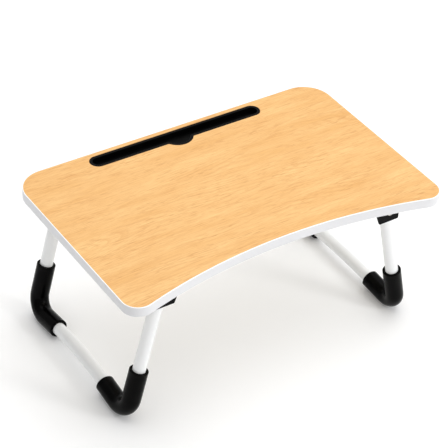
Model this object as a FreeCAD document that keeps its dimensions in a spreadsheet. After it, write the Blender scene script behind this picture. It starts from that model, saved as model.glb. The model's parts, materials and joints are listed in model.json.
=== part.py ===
import FreeCAD, Part
import math
import os
import re
import Sketcher

# Folding laptop table: a laminated board with a white edge band and a long black slot in its top,
# carried by two U-shaped steel leg frames that fold in under the board.
# Frame: origin on the floor under the middle of the board, +X right, +Y to the rear, +Z up.
# Each leg frame has its own axes: origin on its hinge line, +Z up along the leg.

SIZES = {
    # board, seen from above, and its edge band
    "top_width": 600,
    "top_depth": 380,
    "total_height": 280,
    "top_thickness": 18,
    "front_corner_radius": 28,
    "rear_corner_radius": 50,
    "front_hollow": 38,
    "band_thickness": 1.6,
    "band_edge_radius": 0.9,
    # slot with its moulded tray and finger notch
    "slot_end_margin": 133,
    "slot_width": 30,
    "slot_rear_margin": 10,
    "notch_reach": 13.5,
    "tray_depth": 12,
    "tray_rim_width": 3.6,
    "tray_rim_thickness": 1.2,
    "tray_wall": 1.6,
    "tray_gap": 0.3,
    "tray_edge_radius": 0.5,
    # bent steel tube of a leg frame
    "tube_diameter": 22,
    "tube_wall": 1.2,
    "tube_overhang": 5,
    "bend_radius": 30,
    "bar_rise_angle": 6,
    "bar_bow_radius": 750,
    "hinge_end_inset": 83,
    "hinge_front_inset": 53.5,
    "hinge_rear_inset": 22.5,
    "leg_splay": 13,
    # black rubber sleeve round each bend, flat where it meets the floor
    "sleeve_wall": 4.8,
    "sleeve_gap": 0.1,
    "sleeve_upright_arm": 87,
    "sleeve_bar_arm": 75,
    "sleeve_edge_bevel": 1,
    "floor_flat": 0.5,
    # plug in the upper end of each upright
    "plug_length": 24,
    "plug_cap": 1.5,
    "plug_gap": 0.1,
    "plug_edge_bevel": 1,
    # moulded hinge bracket under the board
    "pivot_depth": 17.3,
    "bracket_height": 36,
    "bracket_inner_reach": 19,
    "bracket_outer_reach": 19.5,
    "bracket_slope": 14,
    "bracket_edge_radius": 2.5,
    "cheek_thickness": 2.5,
    "cheek_gap": 0.4,
    "swing_gap": 0.5,
    "stop_gap": 0.3,
    "plate_thickness": 2.5,
    "plate_inner_reach": 44,
    "plate_outer_reach": 31,
    "plate_corner_radius": 5,
    "boss_diameter": 15,
    "boss_height": 1.2,
    # hinge rivet
    "pin_diameter": 6,
    "pin_gap": 0.05,
    "pin_head_diameter": 11,
    "pin_head_height": 2.4,
    "pin_head_bevel": 1.6,
    "pin_tail_diameter": 10,
    "pin_tail_height": 1.6,
    # screws that hold the brackets to the board
    "screw_diameter": 3.5,
    "screw_gap": 0.05,
    "screw_length": 12,
    "screw_head_diameter": 7.4,
    "screw_head_height": 2.4,
    "screw_head_bevel": 1.5,
    "screw_inner_place": 37,
    "screw_outer_place": 24.5,
    "screw_side_place": 7.5,
    # every cut runs past what it cuts by this much
    "cut_overrun": 4,
    # two measures closer than this are taken as the same when edges are chosen
    "same_within": 0.05,
}

# Sizes that several pieces share, worked out from the named ones.
TUBE_RADIUS = "(tube_diameter / 2)"
SLEEVE_RADIUS = "(tube_diameter / 2 + sleeve_gap + sleeve_wall)"
PIN_HOLE_RADIUS = "(pin_diameter / 2 + pin_gap)"
HINGE_HEIGHT = "(total_height - top_thickness - pivot_depth)"
HINGE_REACH = "(top_width / 2 - hinge_end_inset)"
FRAME_SPREAD = "(top_depth - hinge_front_inset - hinge_rear_inset)"
FRAME_SETBACK = "((hinge_front_inset - hinge_rear_inset) / 2)"
LEG_DROP = f"(({HINGE_HEIGHT} - {SLEEVE_RADIUS} + floor_flat) / cos(leg_splay))"
UNDERSIDE = "(total_height - top_thickness)"
SLOT_LENGTH = "(top_width - 2 * slot_end_margin)"
SLOT_RADIUS = "(slot_width / 2)"
SLOT_PLACE = "(top_depth / 2 - slot_rear_margin - slot_width / 2)"
CHEEK_INSIDE = f"({TUBE_RADIUS} + cheek_gap)"
CHEEK_OUTSIDE = f"({TUBE_RADIUS} + cheek_gap + cheek_thickness)"
PLATE_BOTTOM = "(pivot_depth - plate_thickness)"
BRACKET_BOTTOM = "(pivot_depth - bracket_height)"

UPWARD = FreeCAD.Vector(0, 0, 1)
SIDES = {"left": -1, "right": 1}
ENDS = {"front": -1, "rear": 1}

doc = FreeCAD.newDocument("folding_laptop_table")
sheet = doc.addObject("Spreadsheet::Sheet", "Sizes")
for row, (alias, number) in enumerate(SIZES.items(), start=1):
    sheet.set(f"A{row}", alias)
    sheet.set(f"B{row}", str(number))
    sheet.setAlias(f"B{row}", alias)
doc.recompute()


def in_sheet(expression):
    """Point each size named in an expression at its cell."""
    return re.sub(r"[a-z_]+", lambda word: f"Sizes.{word[0]}" if word[0] in SIZES else word[0], expression)


def value(expression):
    """Work out an expression from the sheet as it stands."""
    return float(sheet.evalExpression(in_sheet(expression)))


def bind(item, prop, expression):
    item.setExpression(prop, in_sheet(expression))


def point(across, along):
    return FreeCAD.Vector(across, along, 0)


def new_body(name):
    body = doc.addObject("PartDesign::Body", name)
    body.Label = name
    return body


def new_sketch(body, purpose, plane, height="0"):
    """Start a sketch on one of the body's own planes, lifted along its normal."""
    sketch = body.newObject("Sketcher::SketchObject", f"{body.Name}_{purpose}")
    roles = {feature.Role: feature for feature in body.Origin.OriginFeatures}
    sketch.AttachmentSupport = (roles[plane], "")
    sketch.MapMode = "FlatFace"
    bind(sketch, ".AttachmentOffset.Base.z", height)
    return sketch


def dimension(sketch, kind, references, expression):
    """Add a driving dimension and bind it to an expression of the named sizes."""
    index = sketch.addConstraint(Sketcher.Constraint(kind, *references, value(expression)))
    bind(sketch, f"Constraints[{index}]", expression)


def place_vertex(sketch, geometry, end, across, along):
    dimension(sketch, "DistanceX", (-1, 1, geometry, end), across)
    dimension(sketch, "DistanceY", (-1, 1, geometry, end), along)


def add_circle(sketch, across, along, radius):
    centre = point(value(across), value(along))
    circle = sketch.addGeometry(Part.Circle(centre, UPWARD, value(radius)))
    dimension(sketch, "Radius", (circle,), radius)
    place_vertex(sketch, circle, 3, across, along)


def add_polygon(sketch, corners):
    """Draw a closed outline with straight sides, each corner placed by two expressions."""
    places = [point(value(across), value(along)) for across, along in corners]
    sides = [sketch.addGeometry(Part.LineSegment(start, end))
             for start, end in zip(places, places[1:] + places[:1])]
    for side, following in zip(sides, sides[1:] + sides[:1]):
        sketch.addConstraint(Sketcher.Constraint("Coincident", side, 2, following, 1))
    for side, (across, along) in zip(sides, corners):
        place_vertex(sketch, side, 1, across, along)


def join_smoothly(sketch, joints):
    for first, first_end, second, second_end in joints:
        sketch.addConstraint(Sketcher.Constraint("Tangent", first, first_end, second, second_end))


def feature(body, kind, purpose, sketch, **settings):
    item = body.newObject(f"PartDesign::{kind}", f"{body.Name}_{purpose}")
    item.Profile = sketch
    for name, setting in settings.items():
        setattr(item, name, setting)
    return item


def pad(body, purpose, sketch, length, **settings):
    item = feature(body, "Pad", purpose, sketch, **settings)
    bind(item, "Length", length)
    return item


def pocket(body, purpose, sketch, depth, **settings):
    item = feature(body, "Pocket", purpose, sketch, **settings)
    bind(item, "Length", depth)
    return item


def dress_edges(body, kind, purpose, base, chosen, size):
    """Round (Fillet) or bevel (Chamfer) the edges of a feature that pass a test."""
    doc.recompute()
    names = [f"Edge{number}" for number, edge in enumerate(base.Shape.Edges, start=1) if chosen(edge)]
    item = body.newObject(f"PartDesign::{kind}", f"{body.Name}_{purpose}")
    item.Base = (base, names)
    bind(item, "Radius" if kind == "Fillet" else "Size", size)
    return item


def near(first, second):
    return math.isclose(first, second, abs_tol=value("same_within"))


def place(item, across, along, height, axis=None, turn="0"):
    """Bind an item's place to the named sizes, with one turn about an axis."""
    if axis is not None:
        item.Placement.Rotation = FreeCAD.Rotation(axis, value(turn))
        bind(item, ".Placement.Rotation.Angle", turn)
    bind(item, ".Placement.Base.x", across)
    bind(item, ".Placement.Base.y", along)
    bind(item, ".Placement.Base.z", height)


def add_board_outline(sketch, inset):
    """Draw the board's outline, moved in by an inset: round corners and one long hollow front arc."""
    half_width = f"(top_width / 2 - {inset})"
    rear = f"(top_depth / 2 - {inset})"
    rear_radius = f"(rear_corner_radius - {inset})"
    front_radius = f"(front_corner_radius - {inset})"
    corner_reach = "(top_width / 2 - front_corner_radius)"
    corner_place = "(-top_depth / 2 + front_corner_radius)"
    hollow_radius = (f"(({corner_reach} ^ 2 + front_hollow ^ 2) / (2 * front_hollow)"
                     f" - front_corner_radius + {inset})")
    hollow_place = f"(-top_depth / 2 + front_hollow - {hollow_radius} + {inset})"

    side, back = value(half_width), value(rear)
    back_round, front_round = value(rear_radius), value(front_radius)
    corner_x, corner_y = value(corner_reach), value(corner_place)
    hollow, hollow_y = value(hollow_radius), value(hollow_place)
    lean = math.atan2(corner_y - hollow_y, corner_x)

    def arc(centre_x, centre_y, radius, start, end):
        circle = Part.Circle(point(centre_x, centre_y), UPWARD, radius)
        return sketch.addGeometry(Part.ArcOfCircle(circle, start, end))

    def line(start_x, start_y, end_x, end_y):
        return sketch.addGeometry(Part.LineSegment(point(start_x, start_y), point(end_x, end_y)))

    quarter = math.pi / 2
    right = line(side, corner_y, side, back - back_round)
    rear_right = arc(side - back_round, back - back_round, back_round, 0, quarter)
    rear_line = line(side - back_round, back, back_round - side, back)
    rear_left = arc(back_round - side, back - back_round, back_round, quarter, 2 * quarter)
    left = line(-side, back - back_round, -side, corner_y)
    front_left = arc(-corner_x, corner_y, front_round, 2 * quarter, 4 * quarter - lean)
    front = arc(0, hollow_y, hollow, lean, 2 * quarter - lean)
    front_right = arc(corner_x, corner_y, front_round, lean - 2 * quarter, 0)

    join_smoothly(sketch, [
        (right, 2, rear_right, 1), (rear_right, 2, rear_line, 1), (rear_line, 2, rear_left, 1),
        (rear_left, 2, left, 1), (left, 2, front_left, 1), (front_left, 2, front, 2),
        (front, 1, front_right, 1), (front_right, 2, right, 1),
    ])
    sketch.addConstraint(Sketcher.Constraint("Vertical", right))
    sketch.addConstraint(Sketcher.Constraint("Vertical", left))
    sketch.addConstraint(Sketcher.Constraint("Horizontal", rear_line))
    dimension(sketch, "Radius", (rear_right,), rear_radius)
    dimension(sketch, "Radius", (rear_left,), rear_radius)
    dimension(sketch, "Radius", (front_right,), front_radius)
    dimension(sketch, "Radius", (front_left,), front_radius)
    dimension(sketch, "Radius", (front,), hollow_radius)
    dimension(sketch, "DistanceX", (-1, 1, right, 1), half_width)
    dimension(sketch, "DistanceX", (-1, 1, left, 1), f"-{half_width}")
    dimension(sketch, "DistanceY", (-1, 1, rear_line, 1), rear)
    dimension(sketch, "DistanceY", (-1, 1, front_right, 3), corner_place)
    dimension(sketch, "DistanceY", (-1, 1, front_left, 3), corner_place)


def add_slot_outline(sketch, inset):
    """Draw the slot, moved in by an inset: round ends and a round notch in its front side."""
    cap_place = f"({SLOT_LENGTH} / 2 - {SLOT_RADIUS})"
    radius = f"({SLOT_RADIUS} - {inset})"
    notch_radius = f"({SLOT_RADIUS} + notch_reach - {inset})"

    reach, centre = value(cap_place), value(SLOT_PLACE)
    cap, notch = value(radius), value(notch_radius)
    corner = math.sqrt(notch ** 2 - cap ** 2)
    lean = math.asin(cap / notch)
    quarter = math.pi / 2

    def arc(centre_x, arc_radius, start, end):
        circle = Part.Circle(point(centre_x, centre), UPWARD, arc_radius)
        return sketch.addGeometry(Part.ArcOfCircle(circle, start, end))

    def line(start_x, end_x, height):
        return sketch.addGeometry(Part.LineSegment(point(start_x, height), point(end_x, height)))

    rear = line(reach, -reach, centre + cap)
    left_cap = arc(-reach, cap, quarter, 3 * quarter)
    front_left = line(-reach, -corner, centre - cap)
    finger_notch = arc(0, notch, 2 * quarter + lean, 4 * quarter - lean)
    front_right = line(corner, reach, centre - cap)
    right_cap = arc(reach, cap, -quarter, quarter)

    join_smoothly(sketch, [(rear, 2, left_cap, 1), (left_cap, 2, front_left, 1),
                           (front_right, 2, right_cap, 1), (right_cap, 2, rear, 1)])
    sketch.addConstraint(Sketcher.Constraint("Coincident", front_left, 2, finger_notch, 1))
    sketch.addConstraint(Sketcher.Constraint("Coincident", finger_notch, 2, front_right, 1))
    sketch.addConstraint(Sketcher.Constraint("Horizontal", rear))
    sketch.addConstraint(Sketcher.Constraint("Horizontal", front_left))
    sketch.addConstraint(Sketcher.Constraint("Horizontal", front_right))
    dimension(sketch, "Radius", (left_cap,), radius)
    dimension(sketch, "Radius", (right_cap,), radius)
    dimension(sketch, "Radius", (finger_notch,), notch_radius)
    place_vertex(sketch, left_cap, 3, f"-{cap_place}", SLOT_PLACE)
    dimension(sketch, "DistanceX", (-1, 1, right_cap, 3), cap_place)
    place_vertex(sketch, finger_notch, 3, "0", SLOT_PLACE)


def screw_places():
    """Give the place and side of every bracket screw, four to a bracket."""
    for side in SIDES.values():
        for end in ENDS.values():
            for reach in ("-screw_inner_place", "screw_outer_place"):
                for across in (-1, 1):
                    yield (f"{side} * ({HINGE_REACH} + {reach})",
                           f"{FRAME_SETBACK} + {end} * {FRAME_SPREAD} / 2 + {across} * screw_side_place")


def make_board():
    """Fibreboard core with a wood print: recessed for the tray, drilled from below for the screws."""
    body = new_body("tabletop_board")
    outline = new_sketch(body, "outline", "XY_Plane")
    add_board_outline(outline, "band_thickness")
    pad(body, "slab", outline, "top_thickness")
    rebate = new_sketch(body, "rebate_outline", "XY_Plane", "top_thickness")
    add_slot_outline(rebate, "(-tray_gap)")
    pocket(body, "rebate", rebate, "tray_rim_thickness")
    recess = new_sketch(body, "recess_outline", "XY_Plane", "top_thickness")
    add_slot_outline(recess, "(tray_rim_width - tray_gap)")
    pocket(body, "recess", recess, "tray_depth + tray_gap")
    pilots = new_sketch(body, "pilot_places", "XY_Plane")
    for across, along in screw_places():
        add_circle(pilots, across, along, "screw_diameter / 2 + screw_gap")
    pocket(body, "pilot_holes", pilots, "screw_length - plate_thickness + screw_gap", Reversed=True)
    place(body, "0", "0", UNDERSIDE)
    return body


def make_band():
    """White plastic band glued round the board's edge, with softened outer corners."""
    body = new_body("edge_band")
    outside = new_sketch(body, "outside", "XY_Plane")
    add_board_outline(outside, "0")
    ring = pad(body, "slab", outside, "top_thickness")
    dress_edges(body, "Fillet", "soft_corners", ring, lambda edge: near(edge.BoundBox.ZLength, 0),
                "band_edge_radius")
    inside = new_sketch(body, "inside", "XY_Plane")
    add_board_outline(inside, "band_thickness")
    pocket(body, "opening", inside, "top_thickness", Reversed=True)
    place(body, "0", "0", UNDERSIDE)
    return body


def make_tray():
    """Moulded slot tray: a thin rim flush with the board, walls and a floor below it."""
    body = new_body("tablet_slot_tray")
    tub = new_sketch(body, "tub_outline", "XY_Plane", "-tray_depth")
    add_slot_outline(tub, "tray_rim_width")
    pad(body, "tub", tub, "tray_depth")
    rim = new_sketch(body, "rim_outline", "XY_Plane", "-tray_rim_thickness")
    add_slot_outline(rim, "0")
    pad(body, "rim", rim, "tray_rim_thickness")
    well = new_sketch(body, "well_outline", "XY_Plane")
    add_slot_outline(well, "(tray_rim_width + tray_wall)")
    hollow = pocket(body, "well", well, "tray_depth - tray_wall")

    def at_the_rim(edge):
        return near(edge.BoundBox.ZMin, 0) and near(edge.BoundBox.ZMax, 0)

    dress_edges(body, "Fillet", "soft_rim", hollow, at_the_rim, "tray_edge_radius")
    place(body, "0", "0", "total_height")
    return body


def add_leg_path(sketch):
    """Draw a leg frame's centre line in its own plane: two uprights, two bends, a bowed lower bar."""
    spread, top, drop = value(f"{FRAME_SPREAD} / 2"), value("tube_overhang"), value(LEG_DROP)
    bend, bow = value("bend_radius"), value("bar_bow_radius")
    rise = math.radians(value("bar_rise_angle"))
    sine, cosine = math.sin(rise), math.cos(rise)
    bend_x, bend_y = spread - bend, bend - drop
    bar_x, bar_y = bend_x - bend * sine, bend_y - bend * cosine
    bow_x = bow * sine
    bow_y = bar_y + (bar_x - bow_x) * math.tan(rise) - bow * cosine

    def arc(centre_x, centre_y, radius, start, end):
        circle = Part.Circle(point(centre_x, centre_y), UPWARD, radius)
        return sketch.addGeometry(Part.ArcOfCircle(circle, start, end))

    def line(start_x, start_y, end_x, end_y):
        return sketch.addGeometry(Part.LineSegment(point(start_x, start_y), point(end_x, end_y)))

    quarter = math.pi / 2
    front_upright = line(-spread, top, -spread, bend_y)
    front_bend = arc(-bend_x, bend_y, bend, 2 * quarter, 3 * quarter + rise)
    front_bar = line(-bar_x, bar_y, -bow_x, bow_y + bow * cosine)
    bar_bow = arc(0, bow_y, bow, quarter - rise, quarter + rise)
    rear_bar = line(bow_x, bow_y + bow * cosine, bar_x, bar_y)
    rear_bend = arc(bend_x, bend_y, bend, 3 * quarter - rise, 4 * quarter)
    rear_upright = line(spread, bend_y, spread, top)

    join_smoothly(sketch, [
        (front_upright, 2, front_bend, 1), (front_bend, 2, front_bar, 1), (front_bar, 2, bar_bow, 2),
        (bar_bow, 1, rear_bar, 1), (rear_bar, 2, rear_bend, 1), (rear_bend, 2, rear_upright, 1),
    ])
    sketch.addConstraint(Sketcher.Constraint("Vertical", front_upright))
    sketch.addConstraint(Sketcher.Constraint("Vertical", rear_upright))
    place_vertex(sketch, front_upright, 1, f"-{FRAME_SPREAD} / 2", "tube_overhang")
    place_vertex(sketch, rear_upright, 2, f"{FRAME_SPREAD} / 2", "tube_overhang")
    dimension(sketch, "Radius", (front_bend,), "bend_radius")
    dimension(sketch, "Radius", (rear_bend,), "bend_radius")
    dimension(sketch, "Radius", (bar_bow,), "bar_bow_radius")
    dimension(sketch, "DistanceY", (-1, 1, front_bend, 3), f"bend_radius - {LEG_DROP}")
    dimension(sketch, "DistanceY", (-1, 1, rear_bend, 3), f"bend_radius - {LEG_DROP}")
    dimension(sketch, "DistanceX", (-1, 1, bar_bow, 3), "0")
    dimension(sketch, "Angle", (front_bar,), "bar_rise_angle")


def place_on_leg(item, side):
    """Put an item made in a leg frame's axes in the table's, splayed out at the bottom."""
    place(item, f"{side} * {HINGE_REACH}", FRAME_SETBACK, HINGE_HEIGHT,
          FreeCAD.Vector(0, 1, 0), f"{-side} * leg_splay")


def make_leg_tube(name, side):
    """One steel tube bent into a U, drilled through both uprights for the rivets."""
    body = new_body(f"{name}_leg_tube")
    path = new_sketch(body, "path", "YZ_Plane")
    add_leg_path(path)
    section = new_sketch(body, "section", "XY_Plane", "tube_overhang")
    add_circle(section, "0", f"-{FRAME_SPREAD} / 2", TUBE_RADIUS)
    add_circle(section, "0", f"-{FRAME_SPREAD} / 2", f"{TUBE_RADIUS} - tube_wall")
    doc.recompute()
    tube = feature(body, "AdditivePipe", "tube", section)
    tube.Spine = (path, [f"Edge{number + 1}" for number in range(len(path.Shape.Edges))])
    holes = new_sketch(body, "rivet_hole", "XZ_Plane")
    add_circle(holes, "0", "0", PIN_HOLE_RADIUS)
    pocket(body, "rivet_holes", holes, f"{FRAME_SPREAD} + tube_diameter + cut_overrun", SideType="Symmetric")
    place_on_leg(body, side)
    return body


def add_sleeve_path(sketch, end):
    """Draw a sleeve's centre line: an upright arm, the bend and a bar arm that rises to the middle."""
    bend, drop = value("bend_radius"), value(LEG_DROP)
    rise = math.radians(value("bar_rise_angle"))
    upright_place = f"{end} * {FRAME_SPREAD} / 2"
    bar_place = f"{end} * ({FRAME_SPREAD} / 2 - sleeve_bar_arm)"
    mouth_place = f"sleeve_upright_arm - {LEG_DROP}"
    upright_x, mouth, bar_end = value(upright_place), value(mouth_place), value(bar_place)
    bend_x, bend_y = upright_x - end * bend, bend - drop
    bar_x, bar_y = bend_x - end * bend * math.sin(rise), bend_y - bend * math.cos(rise)
    bar_end_y = bar_y + abs(bar_x - bar_end) * math.tan(rise)
    down = 3 * math.pi / 2
    start, stop = (down - rise, 2 * math.pi) if end > 0 else (math.pi, down + rise)
    upright_side, bar_side = (2, 1) if end > 0 else (1, 2)

    upright = sketch.addGeometry(Part.LineSegment(point(upright_x, mouth), point(upright_x, bend_y)))
    circle = Part.Circle(point(bend_x, bend_y), UPWARD, bend)
    corner = sketch.addGeometry(Part.ArcOfCircle(circle, start, stop))
    bar = sketch.addGeometry(Part.LineSegment(point(bar_x, bar_y), point(bar_end, bar_end_y)))
    join_smoothly(sketch, [(upright, 2, corner, upright_side), (corner, bar_side, bar, 1)])
    sketch.addConstraint(Sketcher.Constraint("Vertical", upright))
    place_vertex(sketch, upright, 1, upright_place, mouth_place)
    dimension(sketch, "Radius", (corner,), "bend_radius")
    dimension(sketch, "DistanceY", (-1, 1, corner, 3), f"bend_radius - {LEG_DROP}")
    dimension(sketch, "Angle", (bar,), "180 - bar_rise_angle" if end > 0 else "bar_rise_angle")
    dimension(sketch, "DistanceX", (-1, 1, bar, 2), bar_place)


def make_sleeve(name, side, end):
    """Rubber elbow that slides over a bend of the tube; its underside is level with the floor."""
    body = new_body(f"{name}_foot_sleeve")
    path = new_sketch(body, "path", "YZ_Plane")
    add_sleeve_path(path, end)
    section = new_sketch(body, "section", "XY_Plane", f"sleeve_upright_arm - {LEG_DROP}")
    add_circle(section, "0", f"{end} * {FRAME_SPREAD} / 2", SLEEVE_RADIUS)
    add_circle(section, "0", f"{end} * {FRAME_SPREAD} / 2", f"{TUBE_RADIUS} + sleeve_gap")
    doc.recompute()
    elbow = feature(body, "AdditivePipe", "elbow", section)
    elbow.Spine = (path, [f"Edge{number + 1}" for number in range(len(path.Shape.Edges))])

    def at_a_mouth(edge):
        return near(edge.Length, 2 * math.pi * value(SLEEVE_RADIUS))

    dress_edges(body, "Chamfer", "bevelled_mouths", elbow, at_a_mouth, "sleeve_edge_bevel")

    # The frame leans by the splay angle, so the level cut leans the other way in its axes.
    turn = f"({-side} * leg_splay)"

    def leant(across, below):
        """Turn a place measured level and plumb from the hinge into the leaning axes of the frame."""
        return (f"{across} * cos{turn} + ({below}) * sin{turn}",
                f"{across} * sin{turn} - ({below}) * cos{turn}")

    middle = f"{side} * {LEG_DROP} * sin(leg_splay)"
    reach = f"({SLEEVE_RADIUS} + cut_overrun)"
    ground = new_sketch(body, "floor_line", "XZ_Plane")
    add_polygon(ground, [
        leant(f"({middle} - {reach})", HINGE_HEIGHT),
        leant(f"({middle} + {reach})", HINGE_HEIGHT),
        leant(f"({middle} + {reach})", f"{HINGE_HEIGHT} + {reach}"),
        leant(f"({middle} - {reach})", f"{HINGE_HEIGHT} + {reach}"),
    ])
    pocket(body, "floor_cut", ground, f"{FRAME_SPREAD} * 2", SideType="Symmetric")
    place_on_leg(body, side)
    return body


def make_plug(name, side, end):
    """Plug pressed into the tube's upper end; the rivet turns in its cross bore."""
    body = new_body(f"{name}_tube_plug")
    along = f"{end} * {FRAME_SPREAD} / 2"
    stem = new_sketch(body, "stem_outline", "XY_Plane", "tube_overhang - plug_length")
    add_circle(stem, "0", along, f"{TUBE_RADIUS} - tube_wall - plug_gap")
    pad(body, "stem", stem, "plug_length")
    cap = new_sketch(body, "cap_outline", "XY_Plane", "tube_overhang")
    add_circle(cap, "0", along, TUBE_RADIUS)
    lid = pad(body, "cap", cap, "plug_cap")

    def on_top(edge):
        return near(edge.BoundBox.ZMin, value("tube_overhang + plug_cap"))

    dress_edges(body, "Chamfer", "bevelled_cap", lid, on_top, "plug_edge_bevel")
    bore = new_sketch(body, "bore_outline", "XZ_Plane")
    add_circle(bore, "0", "0", PIN_HOLE_RADIUS)
    pocket(body, "bore", bore, f"{FRAME_SPREAD} + tube_diameter + cut_overrun", SideType="Symmetric")
    place_on_leg(body, side)
    return body


def place_at_hinge(item, side, end):
    """Put an item made in a bracket's axes at its hinge, with +X pointing out of the table."""
    place(item, f"{side} * {HINGE_REACH}", f"{FRAME_SETBACK} + {end} * {FRAME_SPREAD} / 2", HINGE_HEIGHT,
          FreeCAD.Vector(0, 0, 1), "0" if side > 0 else "180")


def make_bracket(name, side, end):
    """Moulded hinge seat: a screwed plate and two cheeks, open inwards for the folding leg."""
    body = new_body(f"{name}_hinge_bracket")
    outer, inner = "plate_outer_reach", "-plate_inner_reach"
    plate_outline = new_sketch(body, "plate_outline", "XY_Plane", PLATE_BOTTOM)
    add_polygon(plate_outline, [(outer, CHEEK_OUTSIDE), (inner, CHEEK_OUTSIDE),
                                (inner, f"-{CHEEK_OUTSIDE}"), (outer, f"-{CHEEK_OUTSIDE}")])
    plate = pad(body, "plate", plate_outline, "plate_thickness")
    dress_edges(body, "Fillet", "plate_corners", plate,
                lambda edge: near(edge.BoundBox.ZLength, value("plate_thickness")), "plate_corner_radius")

    block_outline = new_sketch(body, "block_outline", "XZ_Plane")
    add_polygon(block_outline, [
        ("-bracket_inner_reach - bracket_slope", "pivot_depth"),
        ("-bracket_inner_reach", BRACKET_BOTTOM),
        ("bracket_outer_reach", BRACKET_BOTTOM),
        ("bracket_outer_reach", "pivot_depth"),
    ])
    block = pad(body, "block", block_outline, f"2 * {CHEEK_OUTSIDE}", SideType="Symmetric")

    def along_the_bottom(edge):
        box = edge.BoundBox
        return near(box.ZMax, value(BRACKET_BOTTOM)) and near(box.YLength, value(f"2 * {CHEEK_OUTSIDE}"))

    dress_edges(body, "Fillet", "block_corners", block, along_the_bottom, "bracket_edge_radius")
    boss = new_sketch(body, "boss_outline", "XZ_Plane")
    add_circle(boss, "0", "0", "boss_diameter / 2")
    pad(body, "bosses", boss, f"2 * ({CHEEK_OUTSIDE} + boss_height)", SideType="Symmetric")

    # The outer end wall is the stop: its inner face leans with the open leg.
    def stop_line(height):
        return f"({TUBE_RADIUS} + stop_gap - ({height}) * sin(leg_splay)) / cos(leg_splay)"

    below, beyond = f"({BRACKET_BOTTOM} - cut_overrun)", "(-plate_inner_reach - cut_overrun)"
    channel = new_sketch(body, "channel_outline", "XZ_Plane")
    add_polygon(channel, [(stop_line(PLATE_BOTTOM), PLATE_BOTTOM), (beyond, PLATE_BOTTOM), (beyond, below),
                          (stop_line(below), below)])
    pocket(body, "channel", channel, f"2 * {CHEEK_INSIDE}", SideType="Symmetric")
    swing = new_sketch(body, "swing_outline", "XZ_Plane")
    add_circle(swing, "0", "0",
               f"sqrt({TUBE_RADIUS} ^ 2 + (tube_overhang + plug_cap) ^ 2) + swing_gap")
    pocket(body, "swing_room", swing, f"2 * {CHEEK_INSIDE}", SideType="Symmetric")
    bore = new_sketch(body, "bore_outline", "XZ_Plane")
    add_circle(bore, "0", "0", PIN_HOLE_RADIUS)
    pocket(body, "bore", bore, f"2 * ({CHEEK_OUTSIDE} + boss_height)", SideType="Symmetric")
    holes = new_sketch(body, "screw_places", "XY_Plane", PLATE_BOTTOM)
    for reach in ("-screw_inner_place", "screw_outer_place"):
        for across in ("-screw_side_place", "screw_side_place"):
            add_circle(holes, reach, across, "screw_diameter / 2 + screw_gap")
    pocket(body, "screw_holes", holes, "plate_thickness", Reversed=True)
    place_at_hinge(body, side, end)
    return body


def make_rivet(name, side, end):
    """Steel hinge rivet with a button head at one cheek and a flat formed tail at the other."""
    body = new_body(f"{name}_hinge_rivet")
    reach = f"({CHEEK_OUTSIDE} + boss_height)"
    shank = new_sketch(body, "shank_outline", "XZ_Plane")
    add_circle(shank, "0", "0", "pin_diameter / 2")
    pad(body, "shank", shank, f"2 * {reach}", SideType="Symmetric")
    head = new_sketch(body, "head_outline", "XZ_Plane", reach)
    add_circle(head, "0", "0", "pin_head_diameter / 2")
    button = pad(body, "head", head, "pin_head_height")

    def on_the_head(edge):
        return near(edge.BoundBox.YMin, -value(f"{reach} + pin_head_height"))

    dress_edges(body, "Chamfer", "bevelled_head", button, on_the_head, "pin_head_bevel")
    tail = new_sketch(body, "tail_outline", "XZ_Plane", f"-{reach}")
    add_circle(tail, "0", "0", "pin_tail_diameter / 2")
    pad(body, "tail", tail, "pin_tail_height", Reversed=True)
    place(body, f"{side} * {HINGE_REACH}", f"{FRAME_SETBACK} + {end} * {FRAME_SPREAD} / 2", HINGE_HEIGHT,
          FreeCAD.Vector(0, 0, 1), "0" if end < 0 else "180")
    return body


def make_screws():
    """Pan-headed wood screws that hold the four brackets, one solid each."""
    screw = new_body("bracket_screw")
    shank = new_sketch(screw, "shank_outline", "XY_Plane")
    add_circle(shank, "0", "0", "screw_diameter / 2")
    pad(screw, "shank", shank, "screw_length")
    head = new_sketch(screw, "head_outline", "XY_Plane")
    add_circle(head, "0", "0", "screw_head_diameter / 2")
    pan = pad(screw, "head", head, "screw_head_height", Reversed=True)

    def on_the_crown(edge):
        return near(edge.BoundBox.ZMax, -value("screw_head_height"))

    dress_edges(screw, "Chamfer", "bevelled_head", pan, on_the_crown, "screw_head_bevel")
    copies = []
    for across, along in screw_places():
        copy = doc.addObject("App::Link", "bracket_screw_copy")
        copy.LinkedObject = screw
        copy.LinkTransform = False
        place(copy, across, along, f"{UNDERSIDE} - plate_thickness")
        copies.append(copy)
    group = doc.addObject("Part::Compound", "bracket_screws")
    group.Links = copies
    group.Label = "bracket_screws"
    return group


nodes = [make_board(), make_band(), make_tray()]
for side_name, side in SIDES.items():
    nodes.append(make_leg_tube(side_name, side))
    for end_name, end in ENDS.items():
        corner = f"{side_name}_{end_name}"
        nodes.append(make_sleeve(corner, side, end))
        nodes.append(make_plug(corner, side, end))
        nodes.append(make_bracket(corner, side, end))
        nodes.append(make_rivet(corner, side, end))
nodes.append(make_screws())
doc.recompute()

for item in doc.Objects:
    if {"Invalid", "Error"} & set(item.State):
        raise ValueError(f"{item.Label} could not be built")
for node in nodes:
    if node.Shape.isNull() or not node.Shape.isValid():
        raise ValueError(f"{node.Label} has no valid shape")

os.makedirs("parts", exist_ok=True)
for node in nodes:
    node.Shape.exportStep(f"parts/{node.Label}.step")
    print(node.Label, len(node.Shape.Solids), round(node.Shape.Volume))
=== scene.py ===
import json
import math

import bpy
from mathutils import Matrix, Vector


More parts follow.
